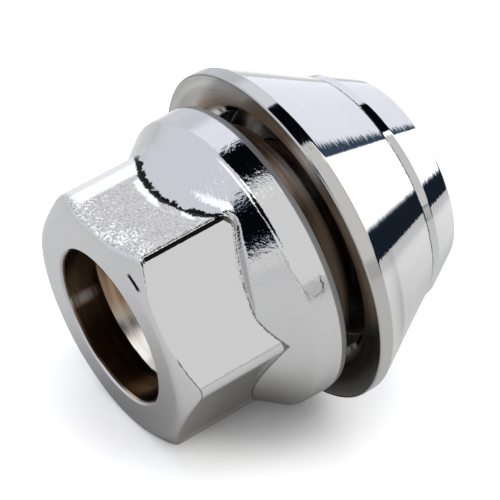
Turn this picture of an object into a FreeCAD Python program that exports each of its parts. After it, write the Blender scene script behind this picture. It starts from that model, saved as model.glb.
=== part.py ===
import FreeCAD, Part
import math
import os
import Sketcher
from FreeCAD import Placement, Rotation, Vector

# Open-ended wheel nut with a captive conical collar. Both pieces are turned about one axis. Each
# is drawn with that axis along local Z, starting at the hexagon's end face: a radius is measured
# from the axis, and a station is the distance from the end face towards the nose. The placement
# at the end lays the nut on its side, as it comes to rest on a table. The thread isn't cut.

# Name, value in mm or degrees, and meaning
SIZES = [
    ("across_flats", 19.0, "hexagon, flat to flat"),
    ("corner_radius", 1.2, "rounding of the hexagon's six corners"),
    ("end_face_inset", 0.25, "end face, short of the middles of the flats"),
    ("end_chamfer_angle", 35.0, "chamfer round the end face, from the face's plane"),
    ("end_rounding", 1.2, "rounding where the end face turns into its chamfer"),
    ("thread_radius", 6.0, "thread M12, major radius"),
    ("thread_pitch", 1.5, "thread pitch"),
    ("mouth_clearance", 0.4, "bore mouth, outside the thread's major radius"),
    ("mouth_depth", 3.0, "bore mouth, from the end face to the lead-in cone"),
    ("mouth_break", 0.25, "broken edge round the bore mouth"),
    ("lead_angle", 30.0, "lead-in cone from the mouth down to the thread, half angle"),
    ("relief_clearance", 0.1, "relief bore past the thread, outside its major radius"),
    ("relief_depth", 4.0, "relief bore, back from the lip's end to its cone"),
    ("relief_angle", 45.0, "cone between thread and relief, half angle"),
    ("skirt_station", 6.9, "station where the skirt leaves the middle of a flat"),
    ("skirt_angle", 37.0, "skirt's slope, from the axis"),
    ("flange_radius", 12.2, "flange's largest radius, at the end of its outer band"),
    ("flange_band", 2.23, "flange's outer band, from the ridge that ends the skirt"),
    ("band_rise", 0.05, "how far the outer band swells from the ridge to its end"),
    ("ridge_break", 0.2, "broken edge along the ridge, on each side"),
    ("rim_length", 0.6, "narrow rim strip behind the outer band"),
    ("rim_drop", 0.1, "how far the rim strip falls in towards the collar"),
    ("bearing_angle", 12.5, "flange's bearing and the collar's dished back, from the cross plane"),
    ("neck_radius", 9.6, "neck behind the flange"),
    ("neck_length", 2.45, "neck, from the flange's edge to the shoulder"),
    ("neck_break", 0.25, "broken edge at the shoulder"),
    ("spigot_wall", 0.75, "wall of the spigot round the relief bore"),
    ("collar_float", 2.1, "how far the collar slides between the flange and the lip"),
    ("shoulder_gap", 0.5, "collar's web to the shoulder, with the collar on the flange"),
    ("spigot_clearance", 0.08, "running clearance of the collar on the spigot, radial"),
    ("web_length", 4.3, "web that runs on the spigot"),
    ("lip_gap", 0.05, "lip to the collar's web, with the collar drawn out"),
    ("lip_overhang", 0.4, "how far the swaged lip stands out past the spigot"),
    ("lip_thickness", 0.8, "swaged lip, along the axis"),
    ("lip_break", 0.15, "broken edge of the lip"),
    ("lip_flare", 0.4, "bore's flare where the lip was rolled outwards"),
    ("lip_clearance", 0.1, "nose bore round the lip, radial"),
    ("recess_clearance", 0.55, "collar's recess round the neck, radial"),
    ("recess_chamfer_width", 1.15, "chamfer from the dished back into the recess, radial"),
    ("recess_chamfer_depth", 0.95, "the same chamfer, along the axis"),
    ("land_length", 1.15, "cylindrical land round the collar's rim"),
    ("edge_break", 0.12, "broken edges of the rim and the nose bore"),
    ("cone_angle", 30.0, "half angle of both cones, for a 60 degree seat"),
    ("main_cone_length", 7.0, "main cone, along the axis"),
    ("step_length", 0.75, "narrow band between the two cones"),
    ("step_drop", 0.15, "how far that band falls in along its length"),
    ("nose_cone_length", 3.0, "second cone, along the axis"),
    ("nose_wall", 0.73, "wall between the nose bore and the end of the second cone"),
    ("nose_break", 0.25, "broken edge of the nose"),
]

doc = FreeCAD.newDocument("LugNut")
sheet = doc.addObject("Spreadsheet::Sheet", "Sizes")
for row, (alias, value, meaning) in enumerate(SIZES, start=1):
    sheet.set(f"A{row}", meaning)
    sheet.set(f"B{row}", str(value))
    sheet.setAlias(f"B{row}", alias)
doc.recompute()

# Radii that follow from the sizes, from the bore outwards
THREAD_MINOR = "(Sizes.thread_radius - 5 / 8 * cos(30) * Sizes.thread_pitch)"
MOUTH_RADIUS = "(Sizes.thread_radius + Sizes.mouth_clearance)"
RELIEF_RADIUS = "(Sizes.thread_radius + Sizes.relief_clearance)"
SPIGOT_RADIUS = f"({RELIEF_RADIUS} + Sizes.spigot_wall)"
WEB_RADIUS = f"({SPIGOT_RADIUS} + Sizes.spigot_clearance)"
LIP_RADIUS = f"({SPIGOT_RADIUS} + Sizes.lip_overhang)"
NOSE_BORE = f"({LIP_RADIUS} + Sizes.lip_clearance)"
NOSE_RADIUS = f"({NOSE_BORE} + Sizes.nose_wall)"
STEP_END_RADIUS = f"({NOSE_RADIUS} + Sizes.nose_cone_length * tan(Sizes.cone_angle))"
STEP_START_RADIUS = f"({STEP_END_RADIUS} + Sizes.step_drop)"
COLLAR_RADIUS = f"({STEP_START_RADIUS} + Sizes.main_cone_length * tan(Sizes.cone_angle))"
RECESS_RADIUS = "(Sizes.neck_radius + Sizes.recess_clearance)"
DISH_RADIUS = f"({RECESS_RADIUS} + Sizes.recess_chamfer_width)"
BACK_RADIUS = f"({COLLAR_RADIUS} - Sizes.edge_break)"
APOTHEM = "(Sizes.across_flats / 2)"
CIRCUMRADIUS = f"({APOTHEM} / cos(30))"
END_FACE_RADIUS = f"({APOTHEM} - Sizes.end_face_inset)"
CLEAR_OF_CORNERS = f"({CIRCUMRADIUS} + Sizes.corner_radius)"
RIDGE_RADIUS = "(Sizes.flange_radius - Sizes.band_rise)"
RIM_RADIUS = "(Sizes.flange_radius - Sizes.rim_drop)"

# Stations that follow, from the end face to the nose
LEAD_END = f"(Sizes.mouth_depth + ({MOUTH_RADIUS} - {THREAD_MINOR}) / tan(Sizes.lead_angle))"
SKIRT_ROOT = f"(Sizes.skirt_station - ({APOTHEM} - {SPIGOT_RADIUS}) / tan(Sizes.skirt_angle))"
SKIRT_FULL = f"(Sizes.skirt_station + ({CIRCUMRADIUS} - {APOTHEM}) / tan(Sizes.skirt_angle))"
RIDGE = f"(Sizes.skirt_station + ({RIDGE_RADIUS} - {APOTHEM}) / tan(Sizes.skirt_angle))"
BAND_END = f"({RIDGE} + Sizes.flange_band)"
FLANGE_BACK = f"({BAND_END} + Sizes.rim_length)"
NECK_ROOT = f"({FLANGE_BACK} + ({RIM_RADIUS} - Sizes.neck_radius) * tan(Sizes.bearing_angle))"
SHOULDER = f"({FLANGE_BACK} + Sizes.neck_length)"
DISH_RISE = f"(({BACK_RADIUS} - {RIM_RADIUS}) * tan(Sizes.bearing_angle))"
COLLAR_BACK = f"({FLANGE_BACK} + Sizes.collar_float - {DISH_RISE})"
LAND_START = f"({COLLAR_BACK} + Sizes.edge_break)"
LAND_END = f"({COLLAR_BACK} + Sizes.land_length)"
DISH_END = f"({COLLAR_BACK} + ({BACK_RADIUS} - {DISH_RADIUS}) * tan(Sizes.bearing_angle))"
RECESS_START = f"({DISH_END} + Sizes.recess_chamfer_depth)"
WEB_BACK = f"({SHOULDER} + Sizes.shoulder_gap + Sizes.collar_float)"
WEB_FRONT = f"({WEB_BACK} + Sizes.web_length)"
LIP_BACK = f"({WEB_FRONT} + Sizes.lip_gap)"
LIP_END = f"({LIP_BACK} + Sizes.lip_thickness)"
RELIEF_START = f"({LIP_END} - Sizes.relief_depth)"
THREAD_END = f"({RELIEF_START} - ({RELIEF_RADIUS} - {THREAD_MINOR}) / tan(Sizes.relief_angle))"
STEP_START = f"({LAND_END} + Sizes.main_cone_length)"
STEP_END = f"({STEP_START} + Sizes.step_length)"
NOSE_END = f"({STEP_END} + Sizes.nose_cone_length)"

# The nut rests on the end of its lowest flat and on the back edge of the collar's land, so its
# axis leans up towards the nose. It reaches from the end face's upper edge to the nose's.
CONTACT_STATION = "(Sizes.end_face_inset * tan(Sizes.end_chamfer_angle))"
LEAN = f"atan(({COLLAR_RADIUS} - {APOTHEM}) / ({LAND_START} - {CONTACT_STATION}))"
FACE_EDGE_RADIUS = f"({END_FACE_RADIUS} - Sizes.end_rounding * tan(Sizes.end_chamfer_angle / 2))"
NEAR_REACH = f"({FACE_EDGE_RADIUS} * sin({LEAN}) + Sizes.end_rounding * (1 - cos({LEAN})))"
FAR_REACH = f"(({NOSE_RADIUS} - Sizes.nose_break) * sin({LEAN}) + {NOSE_END} * cos({LEAN}))"

# How a sketch counts a line's ends and a circle's centre, and where it keeps its origin
START_POINT, END_POINT, CENTRE_POINT = range(1, 4)
ORIGIN_POINT = (-1, START_POINT)

ON_AXIS = None
TOUCH = 1e-4
# A sketch is drawn roughly at this reach before its constraints pull it into place
ROUGH_REACH = sheet.across_flats / 2


def new_body(label):
    """An empty body whose label names the piece."""
    body = doc.addObject("PartDesign::Body", label)
    body.Label = label
    return body


def new_sketch(body, name, role):
    """A sketch on the body's own origin plane of the given role."""
    sketch = body.newObject("Sketcher::SketchObject", name)
    plane = next(plane for plane in body.Origin.OriginFeatures if plane.Role == role)
    sketch.AttachmentSupport = (plane, [""])
    sketch.MapMode = "FlatFace"
    return sketch


def bound(sketch, name, expression, *constraint):
    """A named constraint that takes its value from an expression."""
    index = sketch.addConstraint(Sketcher.Constraint(*constraint))
    sketch.renameConstraint(index, name)
    sketch.setExpression(f"Constraints.{name}", expression)


def closed_loop(sketch, count, centre):
    """A rough closed loop of lines round a centre, which constraints then pull into place."""
    turns = [math.radians(30) + math.tau * i / count for i in range(count)]
    points = [centre + Vector(math.cos(turn), math.sin(turn), 0) * ROUGH_REACH for turn in turns]
    for i in range(count):
        sketch.addGeometry(Part.LineSegment(points[i], points[(i + 1) % count]))
    for i in range(count):
        after = (i + 1) % count
        sketch.addConstraint(Sketcher.Constraint("Coincident", i, END_POINT, after, START_POINT))
    return points


def half_section(body, name, corners):
    """A closed half section in the XZ plane, from (corner name, radius, station) in order."""
    sketch = new_sketch(body, name, "XZ_Plane")
    centre = Vector(2 * ROUGH_REACH, 2 * ROUGH_REACH, 0)
    points = closed_loop(sketch, len(corners), centre)
    for i, (corner, radius, station) in enumerate(corners):
        if radius is ON_AXIS:
            sketch.addConstraint(Sketcher.Constraint("Vertical", *ORIGIN_POINT, i, START_POINT))
        else:
            bound(sketch, f"{corner}_radius", radius,
                  "DistanceX", *ORIGIN_POINT, i, START_POINT, points[i].x)
        bound(sketch, f"{corner}_station", station,
              "DistanceY", *ORIGIN_POINT, i, START_POINT, points[i].y)
    return sketch


def turned(body, kind, name, sketch):
    """The half section turned round the axis, added (Revolution) or cut away (Groove)."""
    before = body.Shape.Volume if body.Tip else 0
    feature = body.newObject(f"PartDesign::{kind}", name)
    feature.Profile = sketch
    feature.ReferenceAxis = (sketch, ["V_Axis"])
    feature.Angle = 360
    sketch.Visibility = False
    doc.recompute()
    change = feature.Shape.Volume - before
    if abs(change) < TOUCH or (change < 0) != (kind == "Groove"):
        raise RuntimeError(f"{name} leaves the piece as it was")
    return feature


def circles_of(feature, sketch, corner):
    """The names of the full circles that a corner of the section has swept."""
    radius = sketch.getDatum(f"{corner}_radius").Value
    station = sketch.getDatum(f"{corner}_station").Value
    return [f"Edge{i}" for i, edge in enumerate(feature.Shape.Edges, start=1)
            if isinstance(edge.Curve, Part.Circle)
            and abs(edge.Curve.Radius - radius) < TOUCH
            and abs(edge.Curve.Center.z - station) < TOUCH]


def eased(body, kind, name, base, edges, size):
    """The base feature with some of its edges rounded (Fillet) or broken (Chamfer)."""
    feature = body.newObject(f"PartDesign::{kind}", name)
    feature.Base = (base, edges)
    feature.setExpression("Radius" if kind == "Fillet" else "Size", size)
    doc.recompute()
    return feature


def hexagon_sketch(body):
    """A hexagon round the axis, with two of its flats square to local X."""
    sketch = new_sketch(body, "hexagon", "XY_Plane")
    closed_loop(sketch, 6, Vector(0, 0, 0))
    rough_circle = Part.Circle(Vector(0, 0, 0), Vector(0, 0, 1), ROUGH_REACH)
    circle = sketch.addGeometry(rough_circle, True)
    sketch.addConstraint(Sketcher.Constraint("Coincident", circle, CENTRE_POINT, *ORIGIN_POINT))
    for i in range(6):
        sketch.addConstraint(Sketcher.Constraint("PointOnObject", i, START_POINT, circle))
    for i in range(1, 6):
        sketch.addConstraint(Sketcher.Constraint("Equal", 0, i))
    sketch.addConstraint(Sketcher.Constraint("Vertical", 5))
    bound(sketch, "circumradius", CIRCUMRADIUS, "Radius", circle, ROUGH_REACH)
    return sketch


def nut_body():
    """Hexagon, skirt, flange, neck, spigot and swaged lip, forged and turned in one piece."""
    body = new_body("nut_body")

    prism = body.newObject("PartDesign::Pad", "hexagon_prism")
    prism.Profile = hexagon_sketch(body)
    prism.setExpression("Length", SKIRT_FULL)
    prism.Profile[0].Visibility = False
    doc.recompute()
    upright = [f"Edge{i}" for i, edge in enumerate(prism.Shape.Edges, start=1)
               if abs(edge.Vertexes[0].Z - edge.Vertexes[-1].Z) > TOUCH]
    eased(body, "Fillet", "hexagon_corners", prism, upright, "Sizes.corner_radius")

    # The skirt's cone starts inside the hexagon and leaves it as an arc across each flat
    outline = half_section(body, "nut_outline", [
        ("root_axis", ON_AXIS, SKIRT_ROOT),
        ("skirt_root", SPIGOT_RADIUS, SKIRT_ROOT),
        ("skirt_end", f"{RIDGE_RADIUS} - Sizes.ridge_break * sin(Sizes.skirt_angle)",
         f"{RIDGE} - Sizes.ridge_break * cos(Sizes.skirt_angle)"),
        ("band_start", RIDGE_RADIUS, f"{RIDGE} + Sizes.ridge_break"),
        ("band_end", "Sizes.flange_radius", BAND_END),
        ("rim_edge", RIM_RADIUS, FLANGE_BACK),
        ("neck_root", "Sizes.neck_radius", NECK_ROOT),
        ("neck_end", "Sizes.neck_radius", f"{SHOULDER} - Sizes.neck_break"),
        ("shoulder_edge", "Sizes.neck_radius - Sizes.neck_break", SHOULDER),
        ("spigot_root", SPIGOT_RADIUS, SHOULDER),
        ("spigot_end", SPIGOT_RADIUS, LIP_BACK),
        ("lip_back", LIP_RADIUS, LIP_BACK),
        ("lip_end", LIP_RADIUS, LIP_END),
        ("end_axis", ON_AXIS, LIP_END),
    ])
    turning = turned(body, "Revolution", "skirt_to_lip", outline)
    lip_circles = circles_of(turning, outline, "lip_end")
    eased(body, "Chamfer", "lip", turning, lip_circles, "Sizes.lip_break")

    chamfer = half_section(body, "end_chamfer_section", [
        ("face_edge", END_FACE_RADIUS, "0"),
        ("outside", CLEAR_OF_CORNERS, "0"),
        ("chamfer_end", CLEAR_OF_CORNERS,
         f"({CLEAR_OF_CORNERS} - {END_FACE_RADIUS}) * tan(Sizes.end_chamfer_angle)"),
    ])
    end_chamfer = turned(body, "Groove", "end_chamfer", chamfer)
    face_circles = circles_of(end_chamfer, chamfer, "face_edge")
    eased(body, "Fillet", "end_round", end_chamfer, face_circles, "Sizes.end_rounding")

    bore = half_section(body, "bore_section", [
        ("mouth_axis", ON_AXIS, "0"),
        ("mouth_edge", f"{MOUTH_RADIUS} + Sizes.mouth_break", "0"),
        ("mouth_wall", MOUTH_RADIUS, "Sizes.mouth_break"),
        ("lead_start", MOUTH_RADIUS, "Sizes.mouth_depth"),
        ("thread_start", THREAD_MINOR, LEAD_END),
        ("thread_end", THREAD_MINOR, THREAD_END),
        ("relief_start", RELIEF_RADIUS, RELIEF_START),
        ("flare_start", RELIEF_RADIUS, f"{LIP_END} - Sizes.lip_flare"),
        ("flare_end", f"{RELIEF_RADIUS} + Sizes.lip_flare", LIP_END),
        ("far_axis", ON_AXIS, LIP_END),
    ])
    turned(body, "Groove", "bore", bore)
    return body


def cone_collar():
    """Ring with two coaxial cones, dished behind, whose web turns and slides on the spigot."""
    body = new_body("cone_collar")
    outline = half_section(body, "collar_outline", [
        ("back_edge", BACK_RADIUS, COLLAR_BACK),
        ("land_start", COLLAR_RADIUS, LAND_START),
        ("land_end", COLLAR_RADIUS, LAND_END),
        ("step_start", STEP_START_RADIUS, STEP_START),
        ("step_end", STEP_END_RADIUS, STEP_END),
        ("nose", NOSE_RADIUS, NOSE_END),
        ("nose_bore_edge", f"{NOSE_BORE} + Sizes.edge_break", NOSE_END),
        ("nose_bore_start", NOSE_BORE, f"{NOSE_END} - Sizes.edge_break"),
        ("web_front", NOSE_BORE, WEB_FRONT),
        ("web_front_edge", WEB_RADIUS, WEB_FRONT),
        ("web_back_edge", WEB_RADIUS, WEB_BACK),
        ("recess_floor", RECESS_RADIUS, WEB_BACK),
        ("recess_start", RECESS_RADIUS, RECESS_START),
        ("dish_end", DISH_RADIUS, DISH_END),
    ])
    ring = turned(body, "Revolution", "ring", outline)
    eased(body, "Chamfer", "nose", ring, circles_of(ring, outline, "nose"), "Sizes.nose_break")
    return body


def lay_down(body):
    """Leans a body back from upright onto its side, with the whole nut centred on the origin."""
    body.Placement = Placement(Vector(0, 0, 0), Rotation(Vector(0, 1, 0), 90))
    body.setExpression("Placement.Rotation.Angle", f"90 deg - {LEAN}")
    body.setExpression("Placement.Base.x", f"({NEAR_REACH} - {FAR_REACH}) / 2")
    body.setExpression("Placement.Base.z", f"{APOTHEM} * cos({LEAN}) - {CONTACT_STATION} * sin({LEAN})")


pieces = [nut_body(), cone_collar()]
for piece in pieces:
    lay_down(piece)
doc.recompute()

for item in doc.Objects:
    if "Invalid" in item.State or "Error" in item.State:
        raise RuntimeError(f"{item.Label} failed: {item.State}")
for piece in pieces:
    if piece.Shape.isNull() or not piece.Shape.isValid() or len(piece.Shape.Solids) != 1:
        raise RuntimeError(f"{piece.Label} is not one valid solid")

os.makedirs("parts", exist_ok=True)
for piece in pieces:
    piece.Shape.exportStep(f"parts/{piece.Label}.step")
    print(piece.Label, "volume in cubic mm:", round(piece.Shape.Volume, 2))
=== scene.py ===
import math

import bmesh
import bpy
from mathutils import Matrix, Vector


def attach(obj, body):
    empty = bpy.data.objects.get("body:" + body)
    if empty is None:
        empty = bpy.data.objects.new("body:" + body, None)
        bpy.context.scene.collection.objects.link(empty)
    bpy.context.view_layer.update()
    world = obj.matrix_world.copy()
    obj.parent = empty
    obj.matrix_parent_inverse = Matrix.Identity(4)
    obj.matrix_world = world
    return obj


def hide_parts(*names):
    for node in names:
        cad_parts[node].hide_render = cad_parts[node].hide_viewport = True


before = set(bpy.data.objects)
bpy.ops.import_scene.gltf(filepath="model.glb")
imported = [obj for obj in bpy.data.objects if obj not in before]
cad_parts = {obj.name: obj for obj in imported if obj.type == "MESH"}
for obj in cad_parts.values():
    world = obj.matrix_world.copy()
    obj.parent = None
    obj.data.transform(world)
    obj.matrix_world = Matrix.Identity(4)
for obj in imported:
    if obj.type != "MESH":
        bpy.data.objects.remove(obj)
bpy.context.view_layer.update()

# An open-ended chrome wheel nut with a captive conical collar. Sections are drawn in millimetres,
# with the axis upright: a radius is measured from the axis, and a station is the distance from
# the hexagon's end face towards the nose. lay_down then puts a piece where the solids lie.
MM = 0.001


def slope(degrees):
    return math.tan(math.radians(degrees))


def cosine(degrees):
    return math.cos(math.radians(degrees))


# Hexagon and bore
APOTHEM = 9.5
CORNER_ROUND = 1.2
END_FACE_INSET = 0.25
END_CHAMFER_ANGLE = 35
END_ROUND = 1.2
THREAD_MAJOR = 6.0
THREAD_PITCH = 1.5
THREAD_MINOR = THREAD_MAJOR - 5 / 8 * cosine(30) * THREAD_PITCH
MOUTH_CLEARANCE = 0.4
MOUTH_DEPTH = 3.0
MOUTH_BREAK = 0.25
LEAD_SLOPE = slope(30)
RELIEF_CLEARANCE = 0.1
RELIEF_DEPTH = 4.0

# Skirt, flange, neck, spigot and lip. The blank is what the hexagon is pressed from
BLANK = 11.2
SKIRT_STATION = 6.9
SKIRT_SLOPE = slope(37)
FLANGE_RADIUS = 12.2
FLANGE_BAND = 2.23
BAND_RISE = 0.05
RIM_LENGTH = 0.6
RIM_DROP = 0.1
BEARING_SLOPE = slope(12.5)
NECK_RADIUS = 9.6
NECK_LENGTH = 2.45
SPIGOT_WALL = 0.75
LIP_OVERHANG = 0.4
LIP_THICKNESS = 0.8
LIP_FLARE = 0.4

# The collar, drawn out to the lip. Its land is sunk a little in the box of the faceted solid
COLLAR_FLOAT = 2.1
SHOULDER_GAP = 0.5
SPIGOT_CLEARANCE = 0.08
WEB_LENGTH = 4.3
LIP_GAP = 0.05
LIP_CLEARANCE = 0.1
RECESS_CLEARANCE = 0.55
RECESS_CHAMFER_WIDTH = 1.15
RECESS_CHAMFER_DEPTH = 0.95
LAND_LENGTH = 1.15
LAND_SINK = 0.0055
EDGE_BREAK = 0.12
CONE_SLOPE = slope(30)
MAIN_CONE_LENGTH = 7.0
STEP_LENGTH = 0.75
STEP_DROP = 0.15
NOSE_CONE_LENGTH = 3.0
NOSE_WALL = 0.73
NOSE_BREAK = 0.25

# Radii that follow, from the bore outwards
MOUTH = THREAD_MAJOR + MOUTH_CLEARANCE
RELIEF = THREAD_MAJOR + RELIEF_CLEARANCE
SPIGOT_RADIUS = RELIEF + SPIGOT_WALL
WEB_RADIUS = SPIGOT_RADIUS + SPIGOT_CLEARANCE
LIP_RADIUS = SPIGOT_RADIUS + LIP_OVERHANG
NOSE_BORE = LIP_RADIUS + LIP_CLEARANCE
NOSE_RADIUS = NOSE_BORE + NOSE_WALL
STEP_END_RADIUS = NOSE_RADIUS + NOSE_CONE_LENGTH * CONE_SLOPE
STEP_START_RADIUS = STEP_END_RADIUS + STEP_DROP
COLLAR_RADIUS = STEP_START_RADIUS + MAIN_CONE_LENGTH * CONE_SLOPE
BACK_RADIUS = COLLAR_RADIUS - EDGE_BREAK
RECESS_RADIUS = NECK_RADIUS + RECESS_CLEARANCE
DISH_RADIUS = RECESS_RADIUS + RECESS_CHAMFER_WIDTH
END_FACE_RADIUS = APOTHEM - END_FACE_INSET
RIDGE_RADIUS = FLANGE_RADIUS - BAND_RISE
RIM_RADIUS = FLANGE_RADIUS - RIM_DROP

# Stations that follow, from the end face to the nose
END_CHAMFER_SLOPE = slope(END_CHAMFER_ANGLE)
LEAD_END = MOUTH_DEPTH + (MOUTH - THREAD_MINOR) / LEAD_SLOPE
RIDGE = SKIRT_STATION + (RIDGE_RADIUS - APOTHEM) / SKIRT_SLOPE
BAND_END = RIDGE + FLANGE_BAND
FLANGE_BACK = BAND_END + RIM_LENGTH
NECK_ROOT = FLANGE_BACK + (RIM_RADIUS - NECK_RADIUS) * BEARING_SLOPE
SHOULDER = FLANGE_BACK + NECK_LENGTH
COLLAR_BACK = FLANGE_BACK + COLLAR_FLOAT - (BACK_RADIUS - RIM_RADIUS) * BEARING_SLOPE
LAND_START = COLLAR_BACK + EDGE_BREAK
LAND_END = COLLAR_BACK + LAND_LENGTH
DISH_END = COLLAR_BACK + (BACK_RADIUS - DISH_RADIUS) * BEARING_SLOPE
RECESS_START = DISH_END + RECESS_CHAMFER_DEPTH
WEB_BACK = SHOULDER + SHOULDER_GAP + COLLAR_FLOAT
WEB_FRONT = WEB_BACK + WEB_LENGTH
LIP_BACK = WEB_FRONT + LIP_GAP
LIP_END = LIP_BACK + LIP_THICKNESS
FLARE_START = LIP_END - LIP_FLARE
RELIEF_START = LIP_END - RELIEF_DEPTH
STEP_START = LAND_END + MAIN_CONE_LENGTH
STEP_END = STEP_START + STEP_LENGTH
NOSE_END = STEP_END + NOSE_CONE_LENGTH

# The nut rests on the end of its lowest flat and on the back edge of the collar's land. Its ends
# lie as far from the middle of the frame on one side as on the other.
CONTACT_STATION = END_FACE_INSET * END_CHAMFER_SLOPE
LEAN = math.atan((COLLAR_RADIUS - APOTHEM) / (LAND_START - CONTACT_STATION))
FACE_EDGE_RADIUS = END_FACE_RADIUS - END_ROUND * slope(END_CHAMFER_ANGLE / 2)
NEAR_REACH = FACE_EDGE_RADIUS * math.sin(LEAN) + END_ROUND * (1 - math.cos(LEAN))
FAR_REACH = (NOSE_RADIUS - NOSE_BREAK) * math.sin(LEAN) + NOSE_END * math.cos(LEAN)
END_FACE_CENTRE = Vector(((NEAR_REACH - FAR_REACH) / 2, 0,
                          APOTHEM * math.cos(LEAN) - CONTACT_STATION * math.sin(LEAN)))

# The die presses the flats unevenly. About these directions from local X, in degrees, a corner is
# rounded more or less, the skirt's cone runs out on the flat in a wide fillet, and the flat is cut
# deeper into the skirt, which it meets in a steep wall. Each of them has a twin on the other side.
SOFT_CORNER = 150
SOFT_CORNER_ROUND = 2.5
SHARP_CORNER = -150
SHARP_CORNER_ROUND = 0.8
FILLET_END = 31
FILLET_EASE = 5
FILLET = 0.68
DEEP_CUT_ANGLE = -131
DEEP_CUT_REACH = 27
DEEP_CUT = 0.6
DEEP_CUT_WALL = 5
CUT_START = 0.1
CUT_EASE = 0.02

# How soft the pressed edges are, and where the pressing ends, short of the ridge. A groove runs
# along the root, where flat and skirt meet.
PRESS_END = 9.9
PRESS_EASE = 0.3
ROOT_EASE = 0.2
ROOT_DEPTH = 0.045
ROOT_WIDTH = 0.08

# Fineness of the meshes: steps round the axis, how much they crowd at the hexagon's corners, the
# held ends of a run, the blank's divisions along the axis, as from, to and spacing, the thread's
# spacing, where the bore's wall is cut short of its ends, and what counts as one point
AROUND = 288
CORNER_CROWDING = 0.6
HELD_END = 0.06
BLANK_DIVISIONS = [(-0.1, 1.4, 0.09), (1.4, 5.7, 0.6), (5.7, 9.25, 0.075)]
THREAD_SPACING = 0.17
BORE_CUT = 0.4
SAME_POINT = 0.001

# Corners of a section: radius, station, radius of the rounding
NUT_OUTSIDE = [
    (MOUTH, MOUTH_BREAK, 0),
    (MOUTH + MOUTH_BREAK, 0, 0.12),
    (END_FACE_RADIUS, 0, END_ROUND),
    (BLANK, (BLANK - END_FACE_RADIUS) * END_CHAMFER_SLOPE, 0),
    (BLANK, SKIRT_STATION + (BLANK - APOTHEM) / SKIRT_SLOPE, 0),
    (RIDGE_RADIUS, RIDGE, 0.6),
    (FLANGE_RADIUS, BAND_END, 0.3),
    (RIM_RADIUS, FLANGE_BACK, 0.14),
    (NECK_RADIUS, NECK_ROOT, 0.2),
    (NECK_RADIUS, SHOULDER, 0.3),
    (SPIGOT_RADIUS, SHOULDER, 0.2),
    (SPIGOT_RADIUS, LIP_BACK, 0.1),
    (LIP_RADIUS, LIP_BACK, 0.12),
    (LIP_RADIUS, LIP_END, 0.2),
    (RELIEF + LIP_FLARE, LIP_END, 0.1),
    (RELIEF, FLARE_START, 0),
]
COLLAR_SECTION = [
    (BACK_RADIUS - LAND_SINK, COLLAR_BACK, 0.06),
    (COLLAR_RADIUS - LAND_SINK, LAND_START, 0.06),
    (COLLAR_RADIUS - LAND_SINK, LAND_END, 0.3),
    (STEP_START_RADIUS, STEP_START, 0.2),
    (STEP_END_RADIUS, STEP_END, 0.2),
    (NOSE_RADIUS, NOSE_END, 0.6),
    (NOSE_BORE + EDGE_BREAK, NOSE_END, 0.06),
    (NOSE_BORE, NOSE_END - EDGE_BREAK, 0.06),
    (NOSE_BORE, WEB_FRONT, 0.15),
    (WEB_RADIUS, WEB_FRONT, 0.1),
    (WEB_RADIUS, WEB_BACK, 0.1),
    (RECESS_RADIUS, WEB_BACK, 0.3),
    (RECESS_RADIUS, RECESS_START, 0.15),
    (DISH_RADIUS, DISH_END, 0.15),
]


def drawn_section(bm, corners, closed):
    """A wire through the corners in the XZ plane, each rounded to its own radius."""
    verts = [bm.verts.new((radius, 0, station)) for radius, station, _ in corners]
    count = len(verts)
    for i in range(count if closed else count - 1):
        bm.edges.new((verts[i], verts[(i + 1) % count]))
    rounded = []
    for i, (_, _, rounding) in enumerate(corners):
        if rounding:
            before, here, after = verts[i - 1].co, verts[i].co, verts[(i + 1) % count].co
            bend = (here - before).angle(after - here)
            segments = max(3, round(bend / math.radians(12)))
            rounded.append((verts[i], rounding * math.tan(bend / 2), segments))
    for vert, offset, segments in rounded:
        bmesh.ops.bevel(bm, geom=[vert], offset=offset, offset_type="OFFSET", segments=segments,
                        profile=0.5, affect="VERTICES", material=-1)


def held_ends(bm, hold):
    """Two extra points on each long straight run, so that shading stays flat along it."""
    for edge in list(bm.edges):
        length = edge.calc_length()
        if length > 5 * hold:
            far, _ = bmesh.utils.edge_split(edge, edge.verts[0], hold / length)
            rest = far if far.calc_length() > edge.calc_length() else edge
            bmesh.utils.edge_split(rest, rest.verts[1], hold / rest.calc_length())


def crossed(bm, station, side=1, clear=False):
    """The mesh is cut across at a station; with clear, what lies on that side of the cut goes."""
    bmesh.ops.bisect_plane(bm, geom=bm.verts[:] + bm.edges[:] + bm.faces[:], dist=SAME_POINT,
                           plane_co=(0, 0, station), plane_no=(0, 0, side), clear_outer=clear)


def divided(bm, low, high, spacing):
    """The wire between two stations, divided to that spacing."""
    for station in (low, high):
        crossed(bm, station)
    for edge in list(bm.edges):
        middle = (edge.verts[0].co.z + edge.verts[1].co.z) / 2
        length = edge.calc_length()
        if low < middle < high and length > 1.5 * spacing:
            bmesh.ops.subdivide_edges(bm, edges=[edge], cuts=round(length / spacing) - 1)


def turned(bm, steps, climb=0.0):
    """The section turned once round the axis; with a climb it goes round as a screw does."""
    bmesh.ops.spin(bm, geom=bm.verts[:] + bm.edges[:], cent=(0, 0, 0), axis=(0, 0, 1),
                   dvec=(0, 0, climb / steps), angle=math.tau, steps=steps, use_merge=not climb)


def smooth_max(a, b, blend):
    """The larger of two values, eased over a blend where they are close."""
    near = max(blend - abs(a - b), 0) / blend
    return max(a, b) + near * near * blend / 4


def corner_rounding(angle):
    """The rounding of the hexagon's corner that is nearest to a direction."""
    for corner, rounding in ((SOFT_CORNER, SOFT_CORNER_ROUND), (SHARP_CORNER, SHARP_CORNER_ROUND)):
        if abs(math.cos(angle - math.radians(corner))) > cosine(30):
            return rounding
    return CORNER_ROUND


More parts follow.
